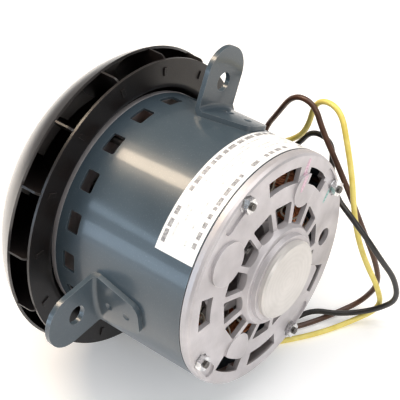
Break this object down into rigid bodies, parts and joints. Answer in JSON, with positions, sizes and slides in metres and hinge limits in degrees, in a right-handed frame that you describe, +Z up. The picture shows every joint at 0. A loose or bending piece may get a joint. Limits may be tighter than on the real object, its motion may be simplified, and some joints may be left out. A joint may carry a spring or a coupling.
{
  "type": "combustion fan",
  "caption": "Combustion fan: an open frame induction motor on welded lugs, with a domed bladed wheel on its shaft and colour coded leads.",
  "frame": {"origin": "centre of the three lug holes, on the lugs' front faces", "axes": "+X along the shaft from the wheel towards the motor's rear, +Z up when the fan is stored level"},
  "size_m": [0.1796, 0.2117, 0.1965],
  "materials": {
    "frame_paint": "gloss",
    "cast_aluminium": "satin",
    "plated_cap": "satin",
    "zinc_steel": "satin",
    "label": "satin",
    "lamination": "matte",
    "insulation": "matte",
    "copper_wire": "gloss",
    "bearing_steel": "polished",
    "cage_polymer": "matte",
    "shaft_steel": "ground",
    "wheel_enamel": "gloss",
    "black_rubber": "matte",
    "lead_brown": "satin",
    "lead_yellow": "satin",
    "lead_black": "satin",
    "terminal_sleeve": "satin"
  },
  "bodies": {
    "motor_frame": {"motor_shell": "frame_paint", "mounting_lug_1": "frame_paint", "mounting_lug_2": "frame_paint", "mounting_lug_3": "frame_paint", "rear_end_shield": "cast_aluminium", "front_end_shield": "cast_aluminium", "rear_bearing_cap": "plated_cap", "through_bolts": "zinc_steel", "bolt_nuts": "zinc_steel", "rating_label": "label", "stator_core": "lamination", "slot_liners": "insulation", "coil_legs": "copper_wire", "front_coil_ends": "copper_wire", "rear_coil_ends": "copper_wire", "thermal_protector": "insulation", "bearing_outer_races": "bearing_steel", "wave_washer": "bearing_steel", "lead_grommet": "black_rubber", "lead_brown": "lead_brown", "lead_yellow": "lead_yellow", "lead_black": "lead_black", "terminal_brown": "terminal_sleeve", "terminal_yellow": "terminal_sleeve", "terminal_black": "terminal_sleeve"},
    "ball_sets": {"front_bearing_balls": "bearing_steel", "rear_bearing_balls": "bearing_steel", "bearing_cages": "cage_polymer"},
    "rotor": {"motor_shaft": "shaft_steel", "rotor_core": "lamination", "rotor_cage": "cast_aluminium", "bearing_inner_races": "bearing_steel", "retaining_rings": "bearing_steel", "wheel_hub": "shaft_steel", "hub_set_screw": "zinc_steel", "hub_rivets": "zinc_steel", "wheel_back_plate": "wheel_enamel", "wheel_shroud": "wheel_enamel", "wheel_blade_01": "wheel_enamel", "wheel_blade_02": "wheel_enamel", "wheel_blade_03": "wheel_enamel", "wheel_blade_04": "wheel_enamel", "wheel_blade_05": "wheel_enamel", "wheel_blade_06": "wheel_enamel", "wheel_blade_07": "wheel_enamel", "wheel_blade_08": "wheel_enamel", "wheel_blade_09": "wheel_enamel", "wheel_blade_10": "wheel_enamel", "wheel_blade_11": "wheel_enamel", "wheel_blade_12": "wheel_enamel", "wheel_blade_13": "wheel_enamel", "wheel_blade_14": "wheel_enamel", "wheel_blade_15": "wheel_enamel"}
  },
  "joints": [
    {"name": "shaft_spin", "type": "hinge", "parent": "motor_frame", "child": "rotor", "pos_m": [0, 0, 0], "axis": [1, 0, 0], "continuous": true},
    {"name": "ball_roll", "type": "hinge", "parent": "motor_frame", "child": "ball_sets", "pos_m": [0, 0, 0], "axis": [1, 0, 0], "continuous": true}
  ],
  "couplings": [
    {"joint": "ball_roll", "follows": "shaft_spin", "ratio": 0.3825}
  ]
}
